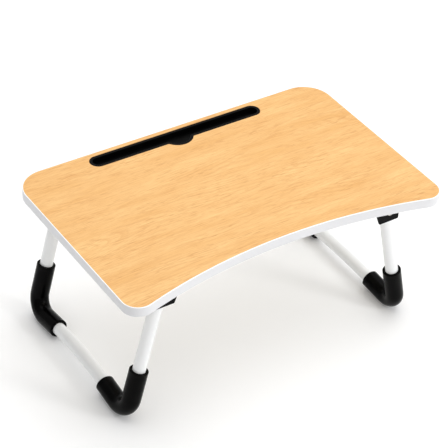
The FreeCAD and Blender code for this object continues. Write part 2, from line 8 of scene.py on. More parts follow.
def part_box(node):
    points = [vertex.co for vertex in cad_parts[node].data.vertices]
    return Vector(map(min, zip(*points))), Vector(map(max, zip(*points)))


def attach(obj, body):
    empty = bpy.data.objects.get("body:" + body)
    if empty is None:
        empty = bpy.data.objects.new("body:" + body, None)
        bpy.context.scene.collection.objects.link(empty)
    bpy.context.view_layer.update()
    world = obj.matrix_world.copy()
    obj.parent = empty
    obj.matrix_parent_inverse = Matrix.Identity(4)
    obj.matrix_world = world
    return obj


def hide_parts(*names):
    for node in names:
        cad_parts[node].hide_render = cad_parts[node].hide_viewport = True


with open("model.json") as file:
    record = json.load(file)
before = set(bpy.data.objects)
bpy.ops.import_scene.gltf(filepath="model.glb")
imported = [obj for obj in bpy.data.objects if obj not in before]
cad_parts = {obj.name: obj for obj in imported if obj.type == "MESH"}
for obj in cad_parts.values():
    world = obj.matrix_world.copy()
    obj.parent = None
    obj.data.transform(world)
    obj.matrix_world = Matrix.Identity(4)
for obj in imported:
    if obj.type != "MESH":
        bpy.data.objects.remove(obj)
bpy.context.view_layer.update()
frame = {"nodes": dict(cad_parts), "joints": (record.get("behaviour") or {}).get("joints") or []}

# The view: a long lens in front of the table's left corner, looking down on it and tilted a little.
# These values put the table where the photograph has it. The focal length is in the picture's pixels.
VIEW_AZIMUTH = math.radians(-35.15)
VIEW_ELEVATION = math.radians(37.81)
VIEW_TILT = math.radians(3.43)
VIEW_DISTANCE = 2.786
VIEW_TARGET = Vector((-0.0633, -0.0789, 0.280))
PICTURE_WIDTH = 448
FOCAL_LENGTH = 1762
SENSOR_WIDTH = 36

scene = bpy.context.scene
# The standard view transform shows the colours as they are set.
scene.view_settings.view_transform = "Standard"
view_back = Vector((math.sin(VIEW_AZIMUTH) * math.cos(VIEW_ELEVATION),
                    -math.cos(VIEW_AZIMUTH) * math.cos(VIEW_ELEVATION),
                    math.sin(VIEW_ELEVATION)))
level_right = (-view_back).cross(Vector((0, 0, 1))).normalized()
level_up = level_right.cross(-view_back)
view_right = level_right * math.cos(VIEW_TILT) + level_up * math.sin(VIEW_TILT)
view_up = level_up * math.cos(VIEW_TILT) - level_right * math.sin(VIEW_TILT)

camera_data = bpy.data.cameras.new("view_camera")
camera_data.sensor_width = SENSOR_WIDTH
camera_data.lens = FOCAL_LENGTH / PICTURE_WIDTH * SENSOR_WIDTH
camera = bpy.data.objects.new("view_camera", camera_data)
scene.collection.objects.link(camera)
camera_turn = Matrix((view_right, view_up, view_back)).transposed().to_4x4()
camera.matrix_world = Matrix.Translation(VIEW_TARGET + view_back * VIEW_DISTANCE) @ camera_turn
scene.camera = camera


# The top board: fibreboard faced with a printed beech paper under a satin melamine film.
# The print's grain runs along the board, with a few long arches where the growth rings close.
# The underside has a plain pale balancing sheet.
WOOD_LIGHT = "F0C27F"
WOOD_MIDDLE = "EAB874"
WOOD_DARK = "E5B068"
RING_DARK = "CB8A40"
FIBRE_DARK = "D29650"
PORE_DARK = "C4853E"
BACKING_LIGHT = "E9E4DA"
BACKING_DARK = "DDD6C9"
CLOUD_SIZE = (0.160, 0.024, 0.050)
RING_SWELL_SIZE = (0.420, 0.085, 0.100)
RINGS_IN_SWELL = 34
RING_SPACING = 0.0058
RING_FADE_SIZE = (0.110, 0.018, 0.050)
# Real fibres and pores are a tenth as wide or less: both are drawn coarser so that they show.
FIBRE_SIZE = (0.040, 0.0017, 0.010)
FINE_FIBRE_SIZE = (0.009, 0.00035, 0.004)
PORE_SIZE = (0.0170, 0.0017, 0.006)
DRIFT_SIZE = (0.160, 0.060, 0.100)
DRIFT_REACH = 0.005
PORE_DEPTH = 0.00003
BACKING_GRAIN = 0.0012
CLOUD_DARK_AT, CLOUD_MIDDLE_AT, CLOUD_LIGHT_AT = 0.32, 0.48, 0.66
# A fade is a pair of pattern values: where a mark starts to show, and where it has its full strength.
RING_DARKENING = (0.45, 0.90)
RING_FADE = (0.36, 0.66)
RING_STRENGTH = 0.36
FIBRE_FADE = (0.46, 0.68)
FIBRE_STRENGTH = 0.60
FINE_FIBRE_FADE = (0.50, 0.72)
FINE_FIBRE_STRENGTH = 0.50
PORE_FADE = (0.56, 0.70)
PORE_STRENGTH = 0.55
PORE_CROWDING = (0.40, 0.58)
PORE_LEAST = 0.25
# A roughness is a pair too: that of the smoothest spot, and that of the roughest.
BOARD_ROUGHNESS = (0.42, 0.54)
# A colour mix node takes the second colour's share and its two colours at these inputs,
# and gives the mixed colour at this output.
MIX_SHARE, MIX_FIRST, MIX_SECOND, MIX_RESULT = 0, 6, 7, 2


def linear(colour):
    """Turn an sRGB hex colour into the linear values that a shader takes."""
    channels = [int(colour[start:start + 2], 16) / 255 for start in (0, 2, 4)]
    curved = [c / 12.92 if c <= 0.04045 else ((c + 0.055) / 1.055) ** 2.4 for c in channels]
    return (*curved, 1.0)


def per_metre(size):
    """Scale coordinates by this and a pattern of scale 1 has features of that size in metres."""
    return tuple(1 / length for length in size)


def add_node(tree, kind, settings, inputs):
    """Add a node, set its properties, and give each input a value or another node's output."""
    node = tree.nodes.new(kind)
    for name, setting in settings.items():
        setattr(node, name, setting)
    for name, source in inputs.items():
        if isinstance(source, bpy.types.NodeSocket):
            tree.links.new(source, node.inputs[name])
        else:
            node.inputs[name].default_value = source
    return node


def start_material(name, finish):
    """Make a material with one surface shader, and set on it what is the same all over."""
    material = bpy.data.materials.new(name)
    material.use_nodes = True
    shader = material.node_tree.nodes["Principled BSDF"]
    for socket, setting in finish.items():
        shader.inputs[socket].default_value = setting
    return material, material.node_tree, shader


def give_material(node_name, material):
    """Put a finish on a CAD node by its material slots; its mesh stays as it is."""
    data = frame["nodes"][node_name].data
    data.materials.clear()
    data.materials.append(material)


board_finish, tree, shader = start_material("printed_melamine_board", {"IOR": 1.5})
place = add_node(tree, "ShaderNodeTexCoord", {}, {}).outputs["Object"]
# Real grain wanders, so the whole print is shifted a little across the board.
drift_place = add_node(tree, "ShaderNodeMapping", {}, {"Vector": place, "Scale": per_metre(DRIFT_SIZE)})
drift = add_node(tree, "ShaderNodeTexNoise", {},
                 {"Vector": drift_place.outputs[0], "Scale": 1.0, "Detail": 2.0})
drifted = add_node(tree, "ShaderNodeVectorMath", {"operation": "MULTIPLY_ADD"},
                   {0: drift.outputs["Color"], 1: (0, DRIFT_REACH, 0), 2: place})

cloud_place = add_node(tree, "ShaderNodeMapping", {},
                       {"Vector": drifted.outputs[0], "Scale": per_metre(CLOUD_SIZE)})
clouds = add_node(tree, "ShaderNodeTexNoise", {},
                  {"Vector": cloud_place.outputs[0], "Scale": 1.0, "Detail": 4.0, "Roughness": 0.6})
ground = add_node(tree, "ShaderNodeValToRGB", {}, {"Fac": clouds.outputs["Fac"]})
ground.color_ramp.elements[0].position = CLOUD_DARK_AT
ground.color_ramp.elements[0].color = linear(WOOD_DARK)
ground.color_ramp.elements[1].position = CLOUD_LIGHT_AT
ground.color_ramp.elements[1].color = linear(WOOD_LIGHT)
ground.color_ramp.elements.new(CLOUD_MIDDLE_AT).color = linear(WOOD_MIDDLE)

# The growth rings are the level lines of a long swell added to an even slope across the board.
swell_place = add_node(tree, "ShaderNodeMapping", {},
                       {"Vector": drifted.outputs[0], "Scale": per_metre(RING_SWELL_SIZE)})
swell = add_node(tree, "ShaderNodeTexNoise", {},
                 {"Vector": swell_place.outputs[0], "Scale": 1.0, "Detail": 1.0, "Roughness": 0.3})
across = add_node(tree, "ShaderNodeSeparateXYZ", {}, {0: drifted.outputs[0]})
even_rings = add_node(tree, "ShaderNodeMath", {"operation": "DIVIDE"},
                      {0: across.outputs["Y"], 1: RING_SPACING})
ring_count = add_node(tree, "ShaderNodeMath", {"operation": "MULTIPLY_ADD"},
                      {0: swell.outputs["Fac"], 1: RINGS_IN_SWELL, 2: even_rings.outputs[0]})
ring_phase = add_node(tree, "ShaderNodeMath", {"operation": "FRACT"}, {0: ring_count.outputs[0]})
ring_line = add_node(tree, "ShaderNodeMapRange", {"interpolation_type": "SMOOTHSTEP"},
                     {"Value": ring_phase.outputs[0],
                      "From Min": RING_DARKENING[0], "From Max": RING_DARKENING[1]})
ring_end = add_node(tree, "ShaderNodeMapRange", {"interpolation_type": "SMOOTHSTEP"},
                    {"Value": ring_phase.outputs[0], "From Min": RING_DARKENING[1],
                     "To Min": 1.0, "To Max": 0.0})
fade_place = add_node(tree, "ShaderNodeMapping", {},
                      {"Vector": drifted.outputs[0], "Scale": per_metre(RING_FADE_SIZE)})
fade = add_node(tree, "ShaderNodeTexNoise", {},
                {"Vector": fade_place.outputs[0], "Scale": 1.0, "Detail": 2.0})
ring_strength = add_node(tree, "ShaderNodeMapRange", {},
                         {"Value": fade.outputs["Fac"], "From Min": RING_FADE[0],
                          "From Max": RING_FADE[1], "To Max": RING_STRENGTH})
ring_shape = add_node(tree, "ShaderNodeMath", {"operation": "MULTIPLY"},
                      {0: ring_line.outputs[0], 1: ring_end.outputs[0]})
ring_share = add_node(tree, "ShaderNodeMath", {"operation": "MULTIPLY"},
                      {0: ring_shape.outputs[0], 1: ring_strength.outputs[0]})
with_rings = add_node(tree, "ShaderNodeMix", {"data_type": "RGBA"},
                      {MIX_SHARE: ring_share.outputs[0], MIX_FIRST: ground.outputs[0],
                       MIX_SECOND: linear(RING_DARK)})

fibre_place = add_node(tree, "ShaderNodeMapping", {},
                       {"Vector": drifted.outputs[0], "Scale": per_metre(FIBRE_SIZE)})
fibre = add_node(tree, "ShaderNodeTexNoise", {},
                 {"Vector": fibre_place.outputs[0], "Scale": 1.0, "Detail": 3.0, "Roughness": 0.65})
fibre_share = add_node(tree, "ShaderNodeMapRange", {},
                       {"Value": fibre.outputs["Fac"], "From Min": FIBRE_FADE[0],
                        "From Max": FIBRE_FADE[1], "To Max": FIBRE_STRENGTH})
with_streaks = add_node(tree, "ShaderNodeMix", {"data_type": "RGBA"},
                        {MIX_SHARE: fibre_share.outputs[0], MIX_FIRST: with_rings.outputs[MIX_RESULT],
                         MIX_SECOND: linear(FIBRE_DARK)})
fine_place = add_node(tree, "ShaderNodeMapping", {},
                      {"Vector": drifted.outputs[0], "Scale": per_metre(FINE_FIBRE_SIZE)})
fine_fibre = add_node(tree, "ShaderNodeTexNoise", {},
                      {"Vector": fine_place.outputs[0], "Scale": 1.0, "Detail": 3.0, "Roughness": 0.7})
fine_share = add_node(tree, "ShaderNodeMapRange", {},
                      {"Value": fine_fibre.outputs["Fac"], "From Min": FINE_FIBRE_FADE[0],
                       "From Max": FINE_FIBRE_FADE[1], "To Max": FINE_FIBRE_STRENGTH})
with_fibres = add_node(tree, "ShaderNodeMix", {"data_type": "RGBA"},
                       {MIX_SHARE: fine_share.outputs[0], MIX_FIRST: with_streaks.outputs[MIX_RESULT],
                        MIX_SECOND: linear(FIBRE_DARK)})

pore_place = add_node(tree, "ShaderNodeMapping", {},
                      {"Vector": drifted.outputs[0], "Scale": per_metre(PORE_SIZE)})
pores = add_node(tree, "ShaderNodeTexNoise", {},
                 {"Vector": pore_place.outputs[0], "Scale": 1.0, "Detail": 1.0})
pore_depth = add_node(tree, "ShaderNodeMapRange", {},
                      {"Value": pores.outputs["Fac"], "From Min": PORE_FADE[0],
                       "From Max": PORE_FADE[1], "To Max": PORE_STRENGTH})
# Pores crowd where the rings are strong.
pore_crowd = add_node(tree, "ShaderNodeMapRange", {},
                      {"Value": fade.outputs["Fac"], "From Min": PORE_CROWDING[0],
                       "From Max": PORE_CROWDING[1], "To Min": PORE_LEAST})
pore_share = add_node(tree, "ShaderNodeMath", {"operation": "MULTIPLY"},
                      {0: pore_depth.outputs[0], 1: pore_crowd.outputs[0]})
with_pores = add_node(tree, "ShaderNodeMix", {"data_type": "RGBA"},
                      {MIX_SHARE: pore_share.outputs[0], MIX_FIRST: with_fibres.outputs[MIX_RESULT],
                       MIX_SECOND: linear(PORE_DARK)})

backing_mottle = add_node(tree, "ShaderNodeTexNoise", {},
                          {"Vector": place, "Scale": 1 / BACKING_GRAIN, "Detail": 4.0})
backing = add_node(tree, "ShaderNodeMix", {"data_type": "RGBA"},
                   {MIX_SHARE: backing_mottle.outputs["Fac"], MIX_FIRST: linear(BACKING_LIGHT),
                    MIX_SECOND: linear(BACKING_DARK)})
# The upper half of the board shows the print, and the lower half the balancing sheet.
board_low, board_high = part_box("tabletop_board")
height = add_node(tree, "ShaderNodeSeparateXYZ", {}, {0: place})
is_printed = add_node(tree, "ShaderNodeMath", {"operation": "GREATER_THAN"},
                      {0: height.outputs["Z"], 1: (board_low.z + board_high.z) / 2})
board_colour = add_node(tree, "ShaderNodeMix", {"data_type": "RGBA"},
                        {MIX_SHARE: is_printed.outputs[0], MIX_FIRST: backing.outputs[MIX_RESULT],
                         MIX_SECOND: with_pores.outputs[MIX_RESULT]})
tree.links.new(board_colour.outputs[MIX_RESULT], shader.inputs["Base Color"])
board_roughness = add_node(tree, "ShaderNodeMapRange", {},
                           {"Value": clouds.outputs["Fac"],
                            "To Min": BOARD_ROUGHNESS[0], "To Max": BOARD_ROUGHNESS[1]})
tree.links.new(board_roughness.outputs[0], shader.inputs["Roughness"])
pore_relief = add_node(tree, "ShaderNodeBump", {"invert": True},
                       {"Height": pore_share.outputs[0], "Strength": 0.5, "Distance": PORE_DEPTH})
tree.links.new(pore_relief.outputs[0], shader.inputs["Normal"])
give_material("tabletop_board", board_finish)


# The edge band: white PVC, extruded with a fine pebbled face, glued on hot and trimmed.
# The scraper that trims its corners rounds them and whitens them a little; the whiter corner strips are
# that whitening plus a painted highlight.
BAND_WHITE = "E4E4E6"
BAND_SHADE = "DCDCDE"
# The corner colour and its strip width: scraper whitening plus a painted highlight along the rounded edges.
BAND_SCRAPE_AND_HIGHLIGHT = "FAFAFA"
SCRAPE_AND_HIGHLIGHT_WIDTH = 0.0010
BAND_PEBBLE = 0.0014
BAND_PEBBLE_DEPTH = 0.000012
BAND_CLOUD = 0.06
BAND_ROUGHNESS = (0.28, 0.42)

band_finish, tree, shader = start_material("extruded_white_pvc", {"IOR": 1.53})
place = add_node(tree, "ShaderNodeTexCoord", {}, {}).outputs["Object"]
cloud = add_node(tree, "ShaderNodeTexNoise", {}, {"Vector": place, "Scale": 1 / BAND_CLOUD, "Detail": 3.0})
band_colour = add_node(tree, "ShaderNodeMix", {"data_type": "RGBA"},
                       {MIX_SHARE: cloud.outputs["Fac"], MIX_FIRST: linear(BAND_WHITE),
                        MIX_SECOND: linear(BAND_SHADE)})
band_low, band_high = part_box("edge_band")
height = add_node(tree, "ShaderNodeSeparateXYZ", {}, {0: place})
off_middle = add_node(tree, "ShaderNodeMath", {"operation": "SUBTRACT"},
                      {0: height.outputs["Z"], 1: (band_low.z + band_high.z) / 2})
to_corner = add_node(tree, "ShaderNodeMath", {"operation": "ABSOLUTE"}, {0: off_middle.outputs[0]})
half_height = (band_high.z - band_low.z) / 2
# Painted highlight: a strip along both the top and the bottom corner is mixed towards near-white, with some
# real scraper whitening in it.
scrape_and_highlight_share = add_node(tree, "ShaderNodeMapRange", {},
                         {"Value": to_corner.outputs[0], "From Min": half_height - SCRAPE_AND_HIGHLIGHT_WIDTH,
                          "From Max": half_height - SCRAPE_AND_HIGHLIGHT_WIDTH / 2})
band_whole = add_node(tree, "ShaderNodeMix", {"data_type": "RGBA"},
                      {MIX_SHARE: scrape_and_highlight_share.outputs[0], MIX_FIRST: band_colour.outputs[MIX_RESULT],
                       MIX_SECOND: linear(BAND_SCRAPE_AND_HIGHLIGHT)})
tree.links.new(band_whole.outputs[MIX_RESULT], shader.inputs["Base Color"])
pebble = add_node(tree, "ShaderNodeTexNoise", {},
                  {"Vector": place, "Scale": 1 / BAND_PEBBLE, "Detail": 1.0})
pebble_relief = add_node(tree, "ShaderNodeBump", {},
                         {"Height": pebble.outputs["Fac"], "Strength": 0.6, "Distance": BAND_PEBBLE_DEPTH})
tree.links.new(pebble_relief.outputs[0], shader.inputs["Normal"])
band_roughness = add_node(tree, "ShaderNodeMapRange", {},
                          {"Value": cloud.outputs["Fac"],
                           "To Min": BAND_ROUGHNESS[0], "To Max": BAND_ROUGHNESS[1]})
tree.links.new(band_roughness.outputs[0], shader.inputs["Roughness"])
give_material("edge_band", band_finish)


# The slot tray: black ABS, injection moulded, with a spark-eroded grain on its rim and in its well.
# It is dropped into the board from above and glued; fine dust shows in its grain.
TRAY_BLACK = "020202"
TRAY_DUST = "0C0C0C"
MOULD_GRAIN = 0.0006
MOULD_GRAIN_DEPTH = 0.00002
DUST_CLOUD = 0.03
DUST_FADE = (0.50, 0.80)
DUST_STRENGTH = 0.60
TRAY_ROUGHNESS = (0.36, 0.50)

tray_finish, tree, shader = start_material("moulded_black_abs", {"IOR": 1.54, "Specular IOR Level": 0.06})
place = add_node(tree, "ShaderNodeTexCoord", {}, {}).outputs["Object"]
grain = add_node(tree, "ShaderNodeTexNoise", {}, {"Vector": place, "Scale": 1 / MOULD_GRAIN, "Detail": 2.0})
dust = add_node(tree, "ShaderNodeTexNoise", {}, {"Vector": place, "Scale": 1 / DUST_CLOUD, "Detail": 6.0})
dust_share = add_node(tree, "ShaderNodeMapRange", {},
                      {"Value": dust.outputs["Fac"], "From Min": DUST_FADE[0],
                       "From Max": DUST_FADE[1], "To Max": DUST_STRENGTH})
tray_colour = add_node(tree, "ShaderNodeMix", {"data_type": "RGBA"},
                       {MIX_SHARE: dust_share.outputs[0], MIX_FIRST: linear(TRAY_BLACK),
                        MIX_SECOND: linear(TRAY_DUST)})
tree.links.new(tray_colour.outputs[MIX_RESULT], shader.inputs["Base Color"])
tray_roughness = add_node(tree, "ShaderNodeMapRange", {},
                          {"Value": dust.outputs["Fac"],
                           "To Min": TRAY_ROUGHNESS[0], "To Max": TRAY_ROUGHNESS[1]})
tree.links.new(tray_roughness.outputs[0], shader.inputs["Roughness"])
grain_relief = add_node(tree, "ShaderNodeBump", {},
                        {"Height": grain.outputs["Fac"], "Strength": 0.5, "Distance": MOULD_GRAIN_DEPTH})
tree.links.new(grain_relief.outputs[0], shader.inputs["Normal"])
give_material("tablet_slot_tray", tray_finish)


# The hinge brackets: black glass-filled nylon, injection moulded, one screwed on over each leg end.
# The glass fibres near the skin give the black a faint grey mottle and a dull satin gloss.
NYLON_BLACK = "030303"
NYLON_GREY = "0B0B0C"
FIBRE_MOTTLE = 0.0016
FLOW_MARK = 0.018
NYLON_GRAIN_DEPTH = 0.00002
NYLON_ROUGHNESS = (0.42, 0.60)

nylon_finish, tree, shader = start_material("glass_filled_nylon", {"IOR": 1.53, "Specular IOR Level": 0.06})
place = add_node(tree, "ShaderNodeTexCoord", {}, {}).outputs["Object"]
mottle = add_node(tree, "ShaderNodeTexNoise", {},
                  {"Vector": place, "Scale": 1 / FIBRE_MOTTLE, "Detail": 3.0})
flow = add_node(tree, "ShaderNodeTexNoise", {},
                {"Vector": place, "Scale": 1 / FLOW_MARK, "Detail": 2.0, "Distortion": 1.2})
mottle_share = add_node(tree, "ShaderNodeMath", {"operation": "MULTIPLY"},
                        {0: mottle.outputs["Fac"], 1: flow.outputs["Fac"]})
nylon_colour = add_node(tree, "ShaderNodeMix", {"data_type": "RGBA"},
                        {MIX_SHARE: mottle_share.outputs[0], MIX_FIRST: linear(NYLON_BLACK),
                         MIX_SECOND: linear(NYLON_GREY)})
tree.links.new(nylon_colour.outputs[MIX_RESULT], shader.inputs["Base Color"])
nylon_roughness = add_node(tree, "ShaderNodeMapRange", {},
                           {"Value": flow.outputs["Fac"],
                            "To Min": NYLON_ROUGHNESS[0], "To Max": NYLON_ROUGHNESS[1]})
tree.links.new(nylon_roughness.outputs[0], shader.inputs["Roughness"])
nylon_relief = add_node(tree, "ShaderNodeBump", {},
                        {"Height": mottle.outputs["Fac"], "Strength": 0.5, "Distance": NYLON_GRAIN_DEPTH})
tree.links.new(nylon_relief.outputs[0], shader.inputs["Normal"])
corners = [f"{side}_{end}" for side in ("left", "right") for end in ("front", "rear")]
for corner in corners:
    give_material(f"{corner}_hinge_bracket", nylon_finish)


# The bracket screws: zinc-plated steel pan heads with a cross recess, driven up into the board.
# Four hold each bracket, and no two stopped at the same turn. The thin zinc skin is bright,
# with cloudy patches that the plating bath leaves.
ZINC_BRIGHT = "C9CDD2"
ZINC_CLOUD = "A9ABA8"
ZINC_PATCH = 0.0022
ZINC_ROUGHNESS = (0.24, 0.44)
SCREW_HEAD_RADIUS = 0.0037
SCREW_HEAD_HEIGHT = 0.0024
SCREW_HEAD_FULLNESS = 4.0
SCREW_SHANK_RADIUS = 0.00175
SCREW_SHANK_SIDES = 24
SCREW_LENGTH = 0.012
RECESS_LENGTH = 0.0040
RECESS_WIDTH = 0.0009
RECESS_DEPTH = 0.0014
# Two of a bracket's screws sit inward of its hinge and two outward, one to either side of its middle.
SCREW_INWARD = 0.0370
SCREW_OUTWARD = 0.0245
SCREW_ASIDE = 0.0075
BRACKET_PLATE = 0.0025
TURN_SEED = 7
DOME_SEGMENTS = 32
DOME_RINGS = 24
# A point of the ball that is higher than this belongs to its upper half.
UPPER_HALF = 0.0001
# A shank enters its head by this share of its reach, so that the two join as one solid.
SHANK_OVERLAP = 0.001
WELD_DISTANCE = 0.000005
# An edge that turns less than this is shaded smooth.
SOFT_EDGE = math.radians(35)


def start_maker(name, sizes):
    """Start a node tree that makes one piece on each point, with its sizes as named inputs."""
    tree = bpy.data.node_groups.new(name, "GeometryNodeTree")
    tree.interface.new_socket(name="Places", in_out="INPUT", socket_type="NodeSocketGeometry")
    for size in sizes:
        tree.interface.new_socket(name=size, in_out="INPUT", socket_type="NodeSocketFloat")
    tree.interface.new_socket(name="Pieces", in_out="OUTPUT", socket_type="NodeSocketGeometry")
    return tree, add_node(tree, "NodeGroupInput", {}, {}).outputs


def add_dome(tree, radius, height, fullness):
    """Press a ball into a round head that stands up from a flat seat; more fullness, flatter top."""
    ball = add_node(tree, "GeometryNodeMeshUVSphere", {},
                    {"Segments": DOME_SEGMENTS, "Rings": DOME_RINGS, "Radius": 1.0})
    position = add_node(tree, "GeometryNodeInputPosition", {}, {})
    spot = add_node(tree, "ShaderNodeSeparateXYZ", {}, {0: position.outputs[0]})
    flat = add_node(tree, "ShaderNodeCombineXYZ", {}, {"X": spot.outputs["X"], "Y": spot.outputs["Y"]})
    reach = add_node(tree, "ShaderNodeVectorMath", {"operation": "LENGTH"}, {0: flat.outputs[0]})
    drop = add_node(tree, "ShaderNodeMath", {"operation": "POWER"},
                    {0: reach.outputs["Value"], 1: fullness})
    remainder = add_node(tree, "ShaderNodeMath", {"operation": "SUBTRACT", "use_clamp": True},
                         {0: 1.0, 1: drop.outputs[0]})
    rise = add_node(tree, "ShaderNodeMath", {"operation": "SQRT"}, {0: remainder.outputs[0]})
    is_top = add_node(tree, "ShaderNodeMath", {"operation": "GREATER_THAN"},
                      {0: spot.outputs["Z"], 1: UPPER_HALF})
    top = add_node(tree, "ShaderNodeMath", {"operation": "MULTIPLY"},
                   {0: rise.outputs[0], 1: is_top.outputs[0]})
    pressed = add_node(tree, "ShaderNodeCombineXYZ", {},
                       {"X": spot.outputs["X"], "Y": spot.outputs["Y"], "Z": top.outputs[0]})
    size = add_node(tree, "ShaderNodeCombineXYZ", {}, {"X": radius, "Y": radius, "Z": height})
    sized = add_node(tree, "ShaderNodeVectorMath", {"operation": "MULTIPLY"},
                     {0: pressed.outputs[0], 1: size.outputs[0]})
    return add_node(tree, "GeometryNodeSetPosition", {},
                    {"Geometry": ball.outputs[0], "Position": sized.outputs[0]})


def finish_maker(tree, places, one, turn, material):
    """End the tree: weld the piece, put one on each place, turn, smooth and finish it."""
    welded = add_node(tree, "GeometryNodeMergeByDistance", {}, {"Geometry": one, "Distance": WELD_DISTANCE})
    placed = add_node(tree, "GeometryNodeInstanceOnPoints", {},
                      {"Points": places, "Instance": welded.outputs[0], "Rotation": turn})
    real = add_node(tree, "GeometryNodeRealizeInstances", {}, {"Geometry": placed.outputs[0]})
    edge_angle = add_node(tree, "GeometryNodeInputMeshEdgeAngle", {}, {})
    is_soft = add_node(tree, "FunctionNodeCompare", {"operation": "LESS_THAN"},
                       {0: edge_angle.outputs["Unsigned Angle"], 1: SOFT_EDGE})
    smooth = add_node(tree, "GeometryNodeSetShadeSmooth", {"domain": "EDGE"},
                      {"Geometry": real.outputs[0], "Shade Smooth": is_soft.outputs[0]})
    finished = add_node(tree, "GeometryNodeSetMaterial", {},
                        {"Geometry": smooth.outputs[0], "Material": material})
    add_node(tree, "NodeGroupOutput", {}, {0: finished.outputs[0]})


def make_on_places(name, places, tree, sizes):
    """Run a maker on loose points and keep what it makes as one plain mesh."""
    points = bpy.data.meshes.new(name)
    points.from_pydata(places, [], [])
    piece = bpy.data.objects.new(name, points)
    scene.collection.objects.link(piece)
    maker = piece.modifiers.new("maker", "NODES")
    maker.node_group = tree
    for socket in tree.interface.items_tree:
        if socket.name in sizes:
            maker[socket.identifier] = sizes[socket.name]
    evaluated = piece.evaluated_get(bpy.context.evaluated_depsgraph_get())
    made = bpy.data.meshes.new_from_object(evaluated)
    piece.modifiers.remove(maker)
    piece.data = made
    return piece


def hinge_place(corner):
    """Give a corner's hinge: on the axis that its leg turns on, half way through its bracket."""
    side = corner.split("_")[0]
    axis = next(joint["pos_m"] for joint in frame["joints"] if joint["child"] == f"{side}_leg")
    bracket_low, bracket_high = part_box(f"{corner}_hinge_bracket")
    return Vector((axis[0], (bracket_low.y + bracket_high.y) / 2, axis[2]))


zinc_finish, tree, shader = start_material("zinc_plated_steel", {"Metallic": 1.0})
place = add_node(tree, "ShaderNodeTexCoord", {}, {}).outputs["Object"]
patches = add_node(tree, "ShaderNodeTexNoise", {},
                   {"Vector": place, "Scale": 1 / ZINC_PATCH, "Detail": 4.0})
zinc_colour = add_node(tree, "ShaderNodeMix", {"data_type": "RGBA"},
                       {MIX_SHARE: patches.outputs["Fac"], MIX_FIRST: linear(ZINC_BRIGHT),
                        MIX_SECOND: linear(ZINC_CLOUD)})
tree.links.new(zinc_colour.outputs[MIX_RESULT], shader.inputs["Base Color"])
zinc_roughness = add_node(tree, "ShaderNodeMapRange", {},
                          {"Value": patches.outputs["Fac"],
                           "To Min": ZINC_ROUGHNESS[0], "To Max": ZINC_ROUGHNESS[1]})
tree.links.new(zinc_roughness.outputs[0], shader.inputs["Roughness"])

screw_sizes = {"Head Radius": SCREW_HEAD_RADIUS, "Head Height": SCREW_HEAD_HEIGHT,
               "Shank Radius": SCREW_SHANK_RADIUS, "Length": SCREW_LENGTH, "Recess Length": RECESS_LENGTH,
               "Recess Width": RECESS_WIDTH, "Recess Depth": RECESS_DEPTH}
tree, given = start_maker("screw_maker", screw_sizes)
head = add_dome(tree, given["Head Radius"], given["Head Height"], SCREW_HEAD_FULLNESS)
shank = add_node(tree, "GeometryNodeMeshCylinder", {},
                 {"Vertices": SCREW_SHANK_SIDES, "Radius": given["Shank Radius"], "Depth": given["Length"]})
shank_middle = add_node(tree, "ShaderNodeMath", {"operation": "MULTIPLY"},
                        {0: given["Length"], 1: SHANK_OVERLAP - 0.5})
shank_place = add_node(tree, "ShaderNodeCombineXYZ", {}, {"Z": shank_middle.outputs[0]})
set_shank = add_node(tree, "GeometryNodeTransform", {},
                     {"Geometry": shank.outputs[0], "Translation": shank_place.outputs[0]})
whole = add_node(tree, "GeometryNodeMeshBoolean", {"operation": "UNION", "solver": "EXACT"},
                 {"Mesh 2": head.outputs[0]})
tree.links.new(set_shank.outputs[0], whole.inputs["Mesh 2"])
# What cuts a recess or a hollow is centred on the surface, so it is twice as tall as the cut is deep.
arm_height = add_node(tree, "ShaderNodeMath", {"operation": "MULTIPLY"}, {0: given["Recess Depth"], 1: 2.0})
arm_place = add_node(tree, "ShaderNodeCombineXYZ", {}, {"Z": given["Head Height"]})
cut = add_node(tree, "GeometryNodeMeshBoolean", {"operation": "DIFFERENCE", "solver": "EXACT"},
               {"Mesh 1": whole.outputs[0]})
for arm_x, arm_y in (("Recess Length", "Recess Width"), ("Recess Width", "Recess Length")):
    arm_size = add_node(tree, "ShaderNodeCombineXYZ", {},
                        {"X": given[arm_x], "Y": given[arm_y], "Z": arm_height.outputs[0]})
    arm = add_node(tree, "GeometryNodeMeshCube", {}, {"Size": arm_size.outputs[0]})
    set_arm = add_node(tree, "GeometryNodeTransform", {},
                       {"Geometry": arm.outputs[0], "Translation": arm_place.outputs[0]})
    tree.links.new(set_arm.outputs[0], cut.inputs["Mesh 2"])
# A half turn points the heads down, and each cross has stopped somewhere in a quarter turn.
screw_turn = add_node(tree, "FunctionNodeRandomValue", {"data_type": "FLOAT_VECTOR"},
                      {0: (math.pi, 0, 0), 1: (math.pi, 0, math.pi / 2), "Seed": TURN_SEED})
finish_maker(tree, given["Places"], cut.outputs[0], screw_turn.outputs[0], zinc_finish)

screw_places = []
for corner in corners:
    hinge = hinge_place(corner)
    outward = math.copysign(1, hinge.x)
    for along in (SCREW_OUTWARD, -SCREW_INWARD):
        for aside in (-SCREW_ASIDE, SCREW_ASIDE):
            screw_places.append((hinge.x + outward * along, hinge.y + aside, board_low.z - BRACKET_PLATE))
screws = make_on_places("cross_head_screws", screw_places, tree, screw_sizes)
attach(screws, "top")
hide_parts("bracket_screws")


